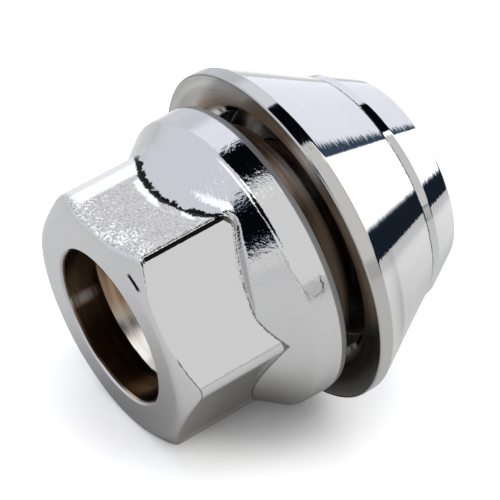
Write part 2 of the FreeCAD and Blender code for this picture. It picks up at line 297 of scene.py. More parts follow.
def hexagon_radius(angle):
    """Distance from the axis to the hexagon, with rounded corners. A flat faces local X."""
    half_flat = math.pi / 6
    off_flat = abs((angle + half_flat) % (2 * half_flat) - half_flat)
    from_corner = half_flat - off_flat
    rounding = corner_rounding(angle)
    flat_end = math.atan2((APOTHEM - rounding) * math.tan(half_flat), APOTHEM)
    if off_flat <= flat_end:
        return APOTHEM / math.cos(off_flat)
    corner_centre = (APOTHEM - rounding) / math.cos(half_flat)
    side = corner_centre * math.sin(from_corner)
    return corner_centre * math.cos(from_corner) + math.sqrt(rounding ** 2 - side ** 2)


def share(value, low, high):
    """0 at the low value, 1 at the high one, and straight between them."""
    return min(max((value - low) / (high - low), 0), 1)


def fillet_share(angle):
    """1 on the flats that face local X, 0 on the others."""
    low, high = cosine(FILLET_END + FILLET_EASE), cosine(FILLET_END - FILLET_EASE)
    straight = share(abs(math.cos(angle)), low, high)
    return straight * straight * (3 - 2 * straight)


def deep_cut(angle):
    """How much deeper than the skirt's cone a flat is cut into it."""
    near = abs(math.cos(angle - math.radians(DEEP_CUT_ANGLE)))
    return DEEP_CUT * share(near, cosine(DEEP_CUT_REACH), 1) * (1 - fillet_share(angle))


def crowd_corners(bm):
    """More of the points round the axis go to the hexagon's corners, fewer to its flats."""
    for vert in bm.verts:
        angle = math.atan2(vert.co.y, vert.co.x)
        shift = CORNER_CROWDING * math.sin(6 * angle) / 6
        vert.co = Matrix.Rotation(shift, 3, "Z") @ vert.co


def press_hexagon(bm):
    """The turned blank's first part is pressed to the hexagon, with a soft root at the skirt."""
    for vert in bm.verts:
        radius, station = vert.co.xy.length, vert.co.z
        if radius > APOTHEM - 2 * PRESS_EASE and station < PRESS_END:
            angle = math.atan2(vert.co.y, vert.co.x)
            hexagon = hexagon_radius(angle)
            cut, fillet = deep_cut(angle), FILLET * fillet_share(angle)
            skirt = APOTHEM + (station - SKIRT_STATION) * SKIRT_SLOPE
            # Where the flat is cut deeper, a steep wall joins it to the skirt
            steepness = 1 + (DEEP_CUT_WALL - 1) * min(cut / CUT_START, 1)
            wall = hexagon + (skirt - hexagon - cut) * steepness
            skirt_side = -smooth_max(-skirt, -wall, min(cut + CUT_EASE, PRESS_EASE))
            pressed = -smooth_max(-radius, -hexagon, PRESS_EASE)
            beyond_flat = smooth_max(pressed, skirt_side, max(fillet, ROOT_EASE))
            pressed = min(beyond_flat, max(radius, pressed))
            from_root = hexagon + cut - fillet - skirt
            pressed -= ROOT_DEPTH * math.exp(-(from_root / ROOT_WIDTH) ** 2)
            vert.co.xy *= pressed / radius


def thread_section(bm, turns):
    """An open wire along the bore: the thread's V grooves, from one turn before the end face."""
    root, flank = THREAD_PITCH / 16, THREAD_PITCH * 3 / 8
    steps = [(0, THREAD_MAJOR), (root, THREAD_MAJOR), (flank, THREAD_MINOR),
             (THREAD_PITCH / 2, THREAD_MINOR), (THREAD_PITCH - flank, THREAD_MINOR),
             (THREAD_PITCH - root, THREAD_MAJOR)]
    before = None
    for i in range(turns):
        for step, radius in steps:
            vert = bm.verts.new((radius, 0, (i - 1) * THREAD_PITCH + step))
            if before:
                bm.edges.new((before, vert))
            before = vert


def threaded_bore(bm):
    """Mouth, lead-in cone, thread, relief and its cone, as one wall cut along a screw."""
    turns = math.ceil(LIP_END / THREAD_PITCH) + 2
    thread_section(bm, turns)
    divided(bm, -2 * THREAD_PITCH, turns * THREAD_PITCH, THREAD_SPACING)
    turned(bm, AROUND // 2, THREAD_PITCH)
    bmesh.ops.remove_doubles(bm, verts=bm.verts, dist=SAME_POINT)
    thread_end = RELIEF_START - (RELIEF - THREAD_MINOR)
    for station in (MOUTH_DEPTH, LEAD_END, thread_end, RELIEF_START):
        crossed(bm, station)
    crossed(bm, BORE_CUT, side=-1, clear=True)
    crossed(bm, FLARE_START - BORE_CUT, clear=True)
    for vert in bm.verts:
        radius, station = vert.co.xy.length, vert.co.z
        lead = min(MOUTH, MOUTH - (station - MOUTH_DEPTH) * LEAD_SLOPE)
        relief = min(RELIEF, RELIEF - (RELIEF_START - station))
        vert.co.xy *= max(radius, lead, relief) / radius


def lay_down(bm):
    """From the upright section's millimetres to where the nut lies, in metres."""
    place = (Matrix.Translation(END_FACE_CENTRE * MM)
             @ Matrix.Rotation(math.pi / 2 - LEAN, 4, "Y") @ Matrix.Scale(MM, 4))
    bmesh.ops.transform(bm, matrix=place, verts=bm.verts)


def finished(bm, name, material):
    """The mesh as an object with its faces outwards, smooth, in its finish."""
    bmesh.ops.recalc_face_normals(bm, faces=bm.faces)
    for face in bm.faces:
        face.smooth = True
    mesh = bpy.data.meshes.new(name)
    bm.to_mesh(mesh)
    bm.free()
    piece = bpy.data.objects.new(name, mesh)
    bpy.context.scene.collection.objects.link(piece)
    mesh.materials.append(material)
    return piece


def wheel_nut(material):
    """Hexagon, skirt, flange, neck, spigot, lip and threaded bore as one closed shell."""
    outside = bmesh.new()
    drawn_section(outside, NUT_OUTSIDE, closed=False)
    held_ends(outside, HELD_END)
    for low, high, spacing in BLANK_DIVISIONS:
        divided(outside, low, high, spacing)
    turned(outside, AROUND)
    crowd_corners(outside)
    press_hexagon(outside)
    bore = bmesh.new()
    threaded_bore(bore)
    wall = bpy.data.meshes.new("bore_wall")
    bore.to_mesh(wall)
    bore.free()
    outside.from_mesh(wall)
    bpy.data.meshes.remove(wall)
    for end in (0, FLARE_START):
        rings = [edge for edge in outside.edges
                 if len(edge.link_faces) == 1 and abs(edge.verts[0].co.z - end) < 1]
        bmesh.ops.bridge_loops(outside, edges=rings)
    lay_down(outside)
    return finished(outside, "wheel_nut", material)


def seat_collar(material):
    """The captive collar, turned from one closed section."""
    bm = bmesh.new()
    drawn_section(bm, COLLAR_SECTION, closed=True)
    held_ends(bm, HELD_END)
    turned(bm, AROUND)
    lay_down(bm)
    return finished(bm, "seat_collar", material)


def fed(tree, socket, value):
    """A socket is linked to another socket, or given a constant."""
    if isinstance(value, bpy.types.NodeSocket):
        tree.links.new(value, socket)
    else:
        socket.default_value = value


def worked_out(tree, operation, *values):
    """A Math node on sockets or numbers; gives its result's socket."""
    node = tree.nodes.new("ShaderNodeMath")
    node.operation = operation
    for socket, value in zip(node.inputs, values):
        fed(tree, socket, value)
    return node.outputs["Value"]


def vector_worked_out(tree, operation, *values, result="Vector"):
    """A Vector Math node, in the same way."""
    node = tree.nodes.new("ShaderNodeVectorMath")
    node.operation = operation
    for socket, value in zip(node.inputs, values):
        fed(tree, socket, value)
    return node.outputs[result]


def stretched(tree, vector, factor):
    """A vector made longer by a factor."""
    node = tree.nodes.new("ShaderNodeVectorMath")
    node.operation = "SCALE"
    tree.links.new(vector, node.inputs["Vector"])
    fed(tree, node.inputs["Scale"], factor)
    return node.outputs["Vector"]


def product(tree, first, *others):
    """All the values multiplied."""
    for other in others:
        first = worked_out(tree, "MULTIPLY", first, other)
    return first


def largest(tree, first, *others):
    """The largest of the values."""
    for other in others:
        first = worked_out(tree, "MAXIMUM", first, other)
    return first


def less(tree, value, other):
    """A value less the other one."""
    return worked_out(tree, "SUBTRACT", value, other)


def summed(tree, start, *shares):
    """The start plus each value times its amount."""
    for value, amount in shares:
        start = worked_out(tree, "MULTIPLY_ADD", value, amount, start)
    return start


def separated(tree, vector):
    """The three parts of a vector."""
    node = tree.nodes.new("ShaderNodeSeparateXYZ")
    tree.links.new(vector, node.inputs["Vector"])
    return node.outputs


def mixed(tree, mask, colour, other):
    """One colour where the mask is 0 and the other where it is 1."""
    node = tree.nodes.new("ShaderNodeMix")
    node.data_type = "RGBA"
    fed(tree, node.inputs["Factor"], mask)
    for title, value in (("A", colour), ("B", other)):
        socket = next(s for s in node.inputs if s.name == title and s.type == "RGBA")
        fed(tree, socket, value if isinstance(value, bpy.types.NodeSocket) else (*value, 1))
    return next(s for s in node.outputs if s.type == "RGBA")


def eased_step(tree, value, edge, softness):
    """0 below the edge, 1 above it, eased over the softness on each side."""
    node = tree.nodes.new("ShaderNodeMapRange")
    node.interpolation_type = "SMOOTHSTEP"
    node.inputs["From Min"].default_value = edge - softness
    node.inputs["From Max"].default_value = edge + softness
    tree.links.new(value, node.inputs["Value"])
    return node.outputs["Result"]


def noise(tree, place, detail, roughness, fourth=None):
    """Random shades from 0 to 1, mostly near the middle; a fourth value makes them change with it too."""
    node = tree.nodes.new("ShaderNodeTexNoise")
    node.inputs["Scale"].default_value = 1
    node.inputs["Detail"].default_value = detail
    node.inputs["Roughness"].default_value = roughness
    tree.links.new(place, node.inputs["Vector"])
    if fourth is not None:
        node.noise_dimensions = "4D"
        tree.links.new(fourth, node.inputs["W"])
    return node.outputs["Fac"]


def grain(tree, place, fineness, detail, roughness):
    """Noise of a fineness: how many of its waves go to a unit of the place."""
    return noise(tree, stretched(tree, place, fineness), detail, roughness)


def shader_group(name, inputs, outputs):
    """An empty node group with named sockets; gives its tree, its inputs and its outputs."""
    tree = bpy.data.node_groups.new(name, "ShaderNodeTree")
    for title in inputs:
        kind = "NodeSocketVector" if title == "Place" else "NodeSocketFloat"
        tree.interface.new_socket(title, in_out="INPUT", socket_type=kind)
    for title in outputs:
        tree.interface.new_socket(title, in_out="OUTPUT", socket_type="NodeSocketFloat")
    return tree, tree.nodes.new("NodeGroupInput").outputs, tree.nodes.new("NodeGroupOutput").inputs


def placed(tree, group, **values):
    """A group placed in a material with its own values; gives its outputs."""
    node = tree.nodes.new("ShaderNodeGroup")
    node.node_tree = group
    for title, value in values.items():
        fed(tree, node.inputs[title], value)
    return node.outputs


def section_place_group():
    """Where a point lies in the turned section, in millimetres, and its turn in degrees."""
    tree, given, result = shader_group("section_place", ["Place"], ["Radius", "Station", "Turn", "Across"])
    x, y, z = separated(tree, given["Place"])
    squares = worked_out(tree, "MULTIPLY_ADD", x, x, product(tree, y, y))
    tree.links.new(worked_out(tree, "SQRT", squares), result["Radius"])
    tree.links.new(z, result["Station"])
    tree.links.new(product(tree, worked_out(tree, "ARCTAN2", y, x), math.degrees(1)), result["Turn"])
    tree.links.new(x, result["Across"])
    return tree


def stretch_mask_group():
    """1 between two values and 0 outside them, eased at both ends."""
    tree, given, result = shader_group("stretch_mask", ["Value", "Low", "High", "Softness"], ["Mask"])
    ends = []
    for first, second in (("Value", "Low"), ("High", "Value")):
        inside = less(tree, given[first], given[second])
        ends.append(eased_step(tree, worked_out(tree, "DIVIDE", inside, given["Softness"]), 0, 1))
    tree.links.new(product(tree, *ends), result["Mask"])
    return tree


def turning_marks_group():
    """Fine rings round the axis, as a lathe tool and a brush leave them."""
    inputs, outputs = ["Place", "Fineness", "Waver"], ["Height", "Streaks"]
    tree, given, result = shader_group("turning_marks", inputs, outputs)
    station = separated(tree, given["Place"])["Z"]
    outwards = vector_worked_out(tree, "MULTIPLY", given["Place"], (1, 1, 0))
    round_it = stretched(tree, vector_worked_out(tree, "NORMALIZE", outwards), given["Waver"])
    along = tree.nodes.new("ShaderNodeCombineXYZ")
    tree.links.new(product(tree, station, given["Fineness"]), along.inputs["Z"])
    radius = vector_worked_out(tree, "LENGTH", outwards, result="Value")
    ring = vector_worked_out(tree, "ADD", round_it, along.outputs["Vector"])
    fourth = product(tree, radius, given["Fineness"])
    tree.links.new(noise(tree, ring, 2, 0.6, fourth), result["Height"])
    broad = 0.35
    elsewhere = vector_worked_out(tree, "ADD", stretched(tree, ring, broad), (7.0, 3.0, 5.0))
    tree.links.new(noise(tree, elsewhere, 1, 0.5, product(tree, fourth, broad)), result["Streaks"])
    return tree


def forged_skin_group():
    """The forging's skin under its plating: soft pebbles with a fine grain on them."""
    tree, given, result = shader_group("forged_skin", ["Place", "Pebble", "Grain"], ["Height"])
    pebbles = grain(tree, given["Place"], worked_out(tree, "DIVIDE", 1.0, given["Pebble"]), 2, 0.5)
    fine = grain(tree, given["Place"], 3.6, 2, 0.6)
    tree.links.new(worked_out(tree, "MULTIPLY_ADD", fine, given["Grain"], pebbles), result["Height"])
    return tree


# What the chrome mirrors, each drawn over the ones before. In degrees: left and right edge in
# azimuth at the low elevation, how far each leans per degree of height, low and high elevation,
# tilt of the high edge with azimuth, and softness of the edges; then the brightness.
STUDIO = [
    # wall where it meets the floor
    (150, 390, 0, 0, -30, 3, 0, 5.0, 0.9),
    # dark ceiling
    (5, 149, 0, 0, 21, 99, 0, 1.5, 0.003),
    (-28, 8, 0, 0, 64, 90, 0, 2.0, 0.003),
    # deep blue between the softboxes
    (58, 98, 0, 0, 8, 45, 0, 2.0, 0.085),
    # left softbox
    (4, 118.8, 0, -0.83, -25, 47.5, -0.3, 0.8, 1.25),
    # the left softbox's dimmer corner
    (-6, 30, 0, 0, -10, 30, 0, 6.0, 0.9),
    # right softbox
    (71, 149, 0.55, 0, 9.5, 78, 0, 0.6, 2.6),
    # grey screen beside the right softbox
    (103, 150, 0, 0, 8, 68, 0, 2.0, 0.86),
    # grey ceiling panel beside the dark one
    (119, 152, 0, 0, 70, 82, -0.35, 1.5, 1.0),
    # bright patch beyond the top
    (176, 265, 0, 0, 72, 99, 0, 2.0, 2.2),
    # horizon gap, deep and faint
    (84, 136, 0, 0, -8, 8.5, 0, 0.6, 0.02),
    (130, 170, 0, 0, -9, 8, 0, 3.0, 0.70),
    # room behind the camera, low and high, and a window beside it
    (234, 269, 0, 0, 8, 29, 0, 3.0, 0.003),
    (187, 247, 0, 0, 35, 70, 0, 2.0, 0.003),
    (250, 300, 0, 0, 32, 52, 0, 2.0, 1.7),
]
WALL_BRIGHTNESS = 1.1
ROOM_BRIGHTNESS = 1.0
DAYLIGHT_TINT = (0.955, 0.98, 1.06)
DARK_TINT = (0.6, 1.0, 1.6)

# Round patches on the floor: centre, radius and softness, in metres. Under the nut and behind it lie
# painted shadows, far off a painted pool of light, and at the contact the camera sees no painted glow
PAINTED_SHADOW_UNDER_NUT = ((-0.003, 0, 0), 0.009, 0.006)
PAINTED_SHADOW_BEHIND_NUT = ((0.030, 0.008, 0), 0.011, 0.009)
CONTACT_WITHOUT_PAINTED_GLOW = ((-0.001, -0.002, 0), 0.0065, 0.003)
PAINTED_LIGHT_POOL = ((0.10, 0.035, 0), 0.06, 0.035)
# The paper as the camera sees it, and a greyer copy with random tones that the chrome mirrors, darkened as
# painted shade
PAPER_SEEN = (0.92, 0.92, 0.92)
PAPER_TONES = ((0.62, 0.615, 0.60), (0.66, 0.655, 0.64))
PAPER_PAINTED_SHADOW = (0.34, 0.335, 0.325)
PAPER_PAINTED_THROWN_SHADOW = (0.15, 0.15, 0.15)
PAPER_PAINTED_GLOW = (1, 0.99, 0.97, 1)


def floor_patch(tree, place, centre, radius, softness):
    """1 within a radius of a centre on the floor, 0 beyond it."""
    away = vector_worked_out(tree, "DISTANCE", place, centre, result="Value")
    return less(tree, 1.0, eased_step(tree, away, radius, softness))


def floor_paint():
    """White paper, with painted light and shade: the chrome mirrors a shaded copy of it, with painted
    shadows near the nut and a painted glow far off, and the camera sees it glow but where the nut touches.
    """
    paint = bpy.data.materials.new("floor_paper")
    paint.use_nodes = True
    tree = paint.node_tree
    shader = tree.nodes["Principled BSDF"]
    shader.inputs["Roughness"].default_value = 0.7
    shader.inputs["Specular IOR Level"].default_value = 0.1
    place = tree.nodes.new("ShaderNodeTexCoord").outputs["Object"]
    seen = tree.nodes.new("ShaderNodeLightPath").outputs["Is Camera Ray"]
    paper = mixed(tree, grain(tree, place, 900, 2, 0.6), *PAPER_TONES)
    # Painted shadows, in what the chrome mirrors: one thrown behind the nut and one under it
    paper = mixed(tree, product(tree, floor_patch(tree, place, *PAINTED_SHADOW_BEHIND_NUT), 0.45), paper, PAPER_PAINTED_THROWN_SHADOW)
    paper = mixed(tree, floor_patch(tree, place, *PAINTED_SHADOW_UNDER_NUT), paper, PAPER_PAINTED_SHADOW)
    tree.links.new(mixed(tree, seen, paper, PAPER_SEEN), shader.inputs["Base Color"])
    # Painted light: the paper glows, far off where the chrome mirrors it, and for the camera everywhere but
    # near the contact
    painted_light_pool = product(tree, floor_patch(tree, place, *PAINTED_LIGHT_POOL), summed(tree, 0.45, (seen, -0.4)))
    painted_glow_reach = less(tree, 1.0, floor_patch(tree, place, *CONTACT_WITHOUT_PAINTED_GLOW))
    painted_glow = summed(tree, painted_light_pool, (product(tree, painted_glow_reach, seen), 0.22))
    tree.links.new(painted_glow, shader.inputs["Emission Strength"])
    shader.inputs["Emission Color"].default_value = PAPER_PAINTED_GLOW
    return paint


def studio_light():
    """A pale room of softboxes, which shows in the chrome; the camera sees a plain pale wall."""
    world = bpy.data.worlds.new("studio")
    bpy.context.scene.world = world
    world.use_nodes = True
    tree = world.node_tree
    background = tree.nodes["Background"]
    x, y, z = separated(tree, tree.nodes.new("ShaderNodeTexCoord").outputs["Generated"])
    azimuth = product(tree, worked_out(tree, "ARCTAN2", x, y), math.degrees(1))
    elevation = product(tree, worked_out(tree, "ARCSINE", z), math.degrees(1))
    brightness = ROOM_BRIGHTNESS
    for left, right, left_lean, right_lean, low, high, tilt, softness, strength in STUDIO:
        middle = (left + right) / 2
        off = worked_out(tree, "WRAP", less(tree, azimuth, middle), 180, -180)
        above = less(tree, elevation, low)
        sides = [
            less(tree, off, summed(tree, left - middle, (above, left_lean))),
            less(tree, summed(tree, right - middle, (above, right_lean)), off),
            above,
            less(tree, summed(tree, high, (off, tilt)), elevation),
        ]
        here = product(tree, *(eased_step(tree, side, 0, softness) for side in sides))
        brightness = summed(tree, brightness, (here, less(tree, strength, brightness)))
    rays = tree.nodes.new("ShaderNodeLightPath").outputs
    seen, scattered = rays["Is Camera Ray"], rays["Is Diffuse Ray"]
    brightness = summed(tree, brightness, (seen, less(tree, WALL_BRIGHTNESS, brightness)))
    strength = summed(tree, brightness, (scattered, less(tree, ROOM_BRIGHTNESS, brightness)))
    tree.links.new(strength, background.inputs["Strength"])
    cool = mixed(tree, eased_step(tree, y, 0, 0.25), (1, 1, 1), DAYLIGHT_TINT)
    lit = largest(tree, eased_step(tree, brightness, 0.3, 0.3), scattered)
    tree.links.new(mixed(tree, lit, DARK_TINT, cool), background.inputs["Color"])


SECTION_PLACE = section_place_group()
STRETCH_MASK = stretch_mask_group()
TURNING_MARKS = turning_marks_group()
FORGED_SKIN = forged_skin_group()

CHROME = (0.60, 0.60, 0.605)
BRUSHED = (0.50, 0.495, 0.48)
BARE_RIM = (0.27, 0.27, 0.265)
DARK_BROWN = (0.21, 0.155, 0.10)
LIGHT_BROWN = (0.60, 0.47, 0.37)
# The mouth's wall: brown nickel darkened as painted shade, and black on one side as painted shade
WALL_BROWN = (0.12, 0.082, 0.052)
WALL_BLACK = (0.045, 0.028, 0.015)
LEAD_DARK = (0.22, 0.14, 0.085)
LEAD_TAN = (0.50, 0.37, 0.25)
# The neck's browns, darkened as painted shade
NECK_DARK = (0.13, 0.09, 0.055)
NECK_BROWN = (0.42, 0.32, 0.24)
# The colour of painted shade in the collar's recess
RECESS_BLACK = (0.05, 0.04, 0.03)
WARM_CHROME = (0.60, 0.56, 0.50)
# Dark grey and black for thin lines and marks: painted shade on the root line, a painted reflection along
# the sharp corner and on the end's edge
ROOT_GREY = (0.13, 0.13, 0.115)
ROOT_BLACK = (0.007, 0.007, 0.006)
STEP_GREY = (0.10, 0.10, 0.10)
FLAT_GREY = (0.53, 0.515, 0.49)
CRINKLE_GREY = (0.40, 0.39, 0.37)
# The colour of painted highlights and glints, on the nut's outside, in the bore and on the neck
PAINTED_HIGHLIGHT_COLOUR = (0.93, 0.92, 0.90)
BUMP_HEIGHT = 1e-5

# Lines and streaks along the nut: direction from local X and half width, in degrees. On the soft corner
# lies a painted highlight, on the sharp one a painted reflection, and in the bore a painted highlight
# streak
END_LINE = (-96, 11)
PAINTED_EDGE_HIGHLIGHT = (SOFT_CORNER, 12)
SHARP_EDGE = (SHARP_CORNER + 0.3, 0.65)
PAINTED_BORE_STREAK = (74, 3)
# The root line strays by this much, in millimetres; beside it, on a fillet, lies a painted highlight as a
# bright fringe
RAGGEDNESS = 0.3
PAINTED_FRINGE = (0.3, 0.75, 0.12)
# The crack along the band leaves the ridge here, in degrees, and climbs by millimetres a degree
CRACK_START = -121
CRACK_CLIMB = -0.042


def metal(name):
    """A metal's node tree and shader, and where a point lies: from the nut's axis and in its section."""
    material = bpy.data.materials.new(name)
    material.use_nodes = True
    tree = material.node_tree
    shader = tree.nodes["Principled BSDF"]
    shader.inputs["Metallic"].default_value = 1
    texture = tree.nodes.new("ShaderNodeTexCoord")
    mapping = tree.nodes.new("ShaderNodeMapping")
    mapping.vector_type = "TEXTURE"
    mapping.inputs["Location"].default_value = END_FACE_CENTRE * MM
    mapping.inputs["Rotation"].default_value = (0, math.pi / 2 - LEAN, 0)
    mapping.inputs["Scale"].default_value = (MM, MM, MM)
    tree.links.new(texture.outputs["Object"], mapping.inputs["Vector"])
    place = mapping.outputs["Vector"]
    return material, tree, shader, place, placed(tree, SECTION_PLACE, Place=place)


def raised(tree, shader, height):
    """The shader's surface stands up by a height, on a small scale."""
    bump = tree.nodes.new("ShaderNodeBump")
    bump.inputs["Distance"].default_value = BUMP_HEIGHT
    tree.links.new(height, bump.inputs["Height"])
    tree.links.new(bump.outputs["Normal"], shader.inputs["Normal"])


def between(tree, value, low, high, softness):
    """1 between the low and the high value, 0 outside them."""
    return placed(tree, STRETCH_MASK, Value=value, Low=low, High=high, Softness=softness)["Mask"]


def covered(tree, at, **stretches):
    """1 where the radius, station or turn lies in its stretch: from, to and softness."""
    masks = [between(tree, at[title.capitalize()], *stretch) for title, stretch in stretches.items()]
    return product(tree, *masks)


def out_towards(tree, place, degrees):
    """How far a point lies out in a direction from the axis, or in the opposite one."""
    towards = (cosine(degrees), math.sin(math.radians(degrees)), 0)
    out = vector_worked_out(tree, "DOT_PRODUCT", place, towards, result="Value")
    return worked_out(tree, "ABSOLUTE", out)


def facing(tree, place, at, degrees):
    """The cosine of the angle round the axis from a direction or from its opposite."""
    return worked_out(tree, "DIVIDE", out_towards(tree, place, degrees), at["Radius"])


def about(tree, place, at, degrees, reach, softness):
    """1 within a reach, in degrees, of a direction or its opposite."""
    return eased_step(tree, facing(tree, place, at, degrees), cosine(reach), softness)


def skirt_root(tree, place, at):
    """The fillet's mask, how far the root strays from a point, and 1 where the skirt hasn't begun."""
    low, high = cosine(FILLET_END + FILLET_EASE), cosine(FILLET_END - FILLET_EASE)
    fillet = eased_step(tree, facing(tree, place, at, 0), (low + high) / 2, (high - low) / 2)
    skirt = summed(tree, APOTHEM - SKIRT_STATION * SKIRT_SLOPE, (at["Station"], SKIRT_SLOPE))
    ragged = grain(tree, place, 3.0, 3, 0.8)
    gap = summed(tree, less(tree, at["Radius"], skirt), (ragged, RAGGEDNESS), (fillet, -FILLET))
    before_skirt = eased_step(tree, gap, RAGGEDNESS / 2 + 0.2, 0.1)
    reach = cosine(DEEP_CUT_REACH)
    near = largest(tree, less(tree, facing(tree, place, at, DEEP_CUT_ANGLE), reach), 0.0)
    cut = product(tree, near, less(tree, 1.0, fillet))
    return fillet, summed(tree, gap, (cut, DEEP_CUT / (1 - reach))), before_skirt


def root_shade_and_highlight(tree, place, fillet, gap):
    """Painted shade as a dark line where a flat runs out into the skirt, and a painted highlight as a
    bright fringe beside it at a fillet.
    """
    off_flat = largest(tree, *(out_towards(tree, place, degrees) for degrees in (0, 60, 120)))
    on_flat = between(tree, off_flat, 9, APOTHEM + 0.06, 0.04)
    wider = summed(tree, -0.2, (grain(tree, place, 1.3, 3, 0.7), 0.7))
    half = summed(tree, ROOT_WIDTH / 2, (fillet, wider))
    low, high = (summed(tree, RAGGEDNESS / 2, (half, side)) for side in (-1, 1))
    line = product(tree, on_flat, between(tree, gap, low, high, 0.04))
    return line, product(tree, on_flat, between(tree, gap, *PAINTED_FRINGE), fillet)


def forging_marks_and_painted_dash(tree, at, coarse):
    """Small dark marks: a painted reflection as a dash on the end's edge, a crack along the band and a curl
    on it.
    """
    turn, station = at["Turn"], at["Station"]
    uneven = less(tree, coarse, 0.5)
    wavy = summed(tree, station, (uneven, 0.5))
    along_band = summed(tree, wavy, (largest(tree, less(tree, turn, CRACK_START), 0.0), CRACK_CLIMB))
    # How dark, then a value with its stretch, and another
    marks = [
        (1.0, turn, (-150.0, -141.2, 1.0), summed(tree, at["Radius"], (uneven, 0.1)), (9.43, 9.66, 0.04)),
        (0.32, turn, (-128.0, -107.5, 1.5), along_band, (10.27, 10.36, 0.05)),
        (0.8, turn, (-113.8, -109.2, 1.2), wavy, (12.12, 12.26, 0.06)),
        (0.4, summed(tree, turn, (uneven, 3.0)), (-108.8, -108.0, 0.3), station, (11.2, 12.2, 0.3)),
    ]
    masks = [product(tree, between(tree, first, *stretch), between(tree, second, *other), depth)
             for depth, first, stretch, second, other in marks]
    return product(tree, largest(tree, *masks), covered(tree, at, radius=(9.4, 13, 0.02)))


def end_line(tree, place, at, coarse):
    """A thin grey line along the end chamfer, on one side."""
    past_face = less(tree, at["Radius"], END_FACE_RADIUS)
    below_chamfer = summed(tree, at["Station"], (past_face, -END_CHAMFER_SLOPE), (coarse, 0.2))
    line = between(tree, below_chamfer, 0.22, 0.29, 0.03)
    side = about(tree, place, at, *END_LINE, 0.004)
    return product(tree, line, side, covered(tree, at, radius=(9.5, 11, 0.05)))


def sharp_edge(tree, place, at, coarse):
    """A painted reflection: a dark line along the sharp corner."""
    direction, reach = SHARP_EDGE
    off_corner = summed(tree, facing(tree, place, at, direction), (coarse, 0.0001))
    line = eased_step(tree, off_corner, cosine(reach), 0.00002)
    return product(tree, line, covered(tree, at, station=(1.3, 8.3, 0.1), radius=(10.4, 11.1, 0.05)))


def outside_colour(tree, place, at, coarse, parted, before_skirt, fillet, gap):
    """Chrome with greyer, flecked flats and painted glints, painted highlights along the soft corner and
    beside the root, and thin dark lines, some of them painted shade and a painted reflection.
    """
    root, painted_fringe = root_shade_and_highlight(tree, place, fillet, gap)
    crinkle = grain(tree, place, 4.2, 4, 0.75)
    patches = grain(tree, place, 0.7, 2, 0.5)
    near_end = less(tree, 1.0, eased_step(tree, at["Station"], 2.6, 1.4))
    # Painted glints: the crinkle's hollows are painted bright, and more of them are in patches and near the
    # end
    painted_glints = summed(tree, 0.21, (crinkle, -1.0), (patches, 0.35), (near_end, 0.1))
    painted_glints = product(tree, eased_step(tree, painted_glints, 0.03, 0.03), parted)
    painted_fringe = product(tree, painted_fringe, eased_step(tree, patches, 0.5, 0.06))
    # Painted highlight: a bright strip along the soft corner
    painted_edge_highlight = product(tree, about(tree, place, at, *PAINTED_EDGE_HIGHLIGHT, 0.004), before_skirt,
                        covered(tree, at, station=(1.2, 8.0, 0.3), radius=(9.5, 11.0, 0.03)))
    colour = mixed(tree, parted, CHROME, FLAT_GREY)
    colour = mixed(tree, product(tree, eased_step(tree, crinkle, 0.54, 0.04), parted), colour, CRINKLE_GREY)
    colour = mixed(tree, largest(tree, painted_glints, painted_fringe, painted_edge_highlight), colour, PAINTED_HIGHLIGHT_COLOUR)
    # Painted shade in grey along the root, and a grey line along the end chamfer
    colour = mixed(tree, largest(tree, root, end_line(tree, place, at, coarse)), colour, ROOT_GREY)
    # Black: painted shade at a fillet's root, a painted reflection along the sharp corner, and small dark
    # marks
    black = largest(tree, product(tree, root, fillet), sharp_edge(tree, place, at, coarse),
                    forging_marks_and_painted_dash(tree, at, coarse))
    return mixed(tree, black, colour, ROOT_BLACK)


def bore_colour(tree, at, marks, wall, lead, plated, behind, painted_bore_highlight):
    """Brown nickel, darkened in the mouth as painted shade, blacker on one side as painted shade and
    lighter on another as painted light, with a painted highlight streak; the lead-in cone; and the neck,
    darkened as painted shade but for a painted highlight on one side.
    """
    shade = summed(tree, -1.1, (marks["Streaks"], 3.2))
    # Painted shade and light on the mouth's wall: black on one side, tan on another
    wall_colour = mixed(tree, covered(tree, at, turn=(2.9, 57.3, 8.6)), WALL_BROWN, WALL_BLACK)
    wall_colour = mixed(tree, covered(tree, at, turn=(-20.1, -2.9, 6.9)), wall_colour, LEAD_TAN)
    # The neck: painted shade all round, and a painted highlight on one side
    neck_in_painted_shade = mixed(tree, shade, NECK_DARK, NECK_BROWN)
    painted_neck_highlight = mixed(tree, shade, LIGHT_BROWN, PAINTED_HIGHLIGHT_COLOUR)
    neck = mixed(tree, covered(tree, at, turn=(-163.3, -143.2, 8.6)), neck_in_painted_shade, painted_neck_highlight)
    colour = mixed(tree, wall, mixed(tree, shade, DARK_BROWN, LIGHT_BROWN), wall_colour)
    colour = mixed(tree, lead, colour, mixed(tree, shade, LEAD_DARK, LEAD_TAN))
    colour = mixed(tree, behind, colour, neck)
    colour = mixed(tree, plated, colour, WARM_CHROME)
    return mixed(tree, painted_bore_highlight, colour, PAINTED_HIGHLIGHT_COLOUR)


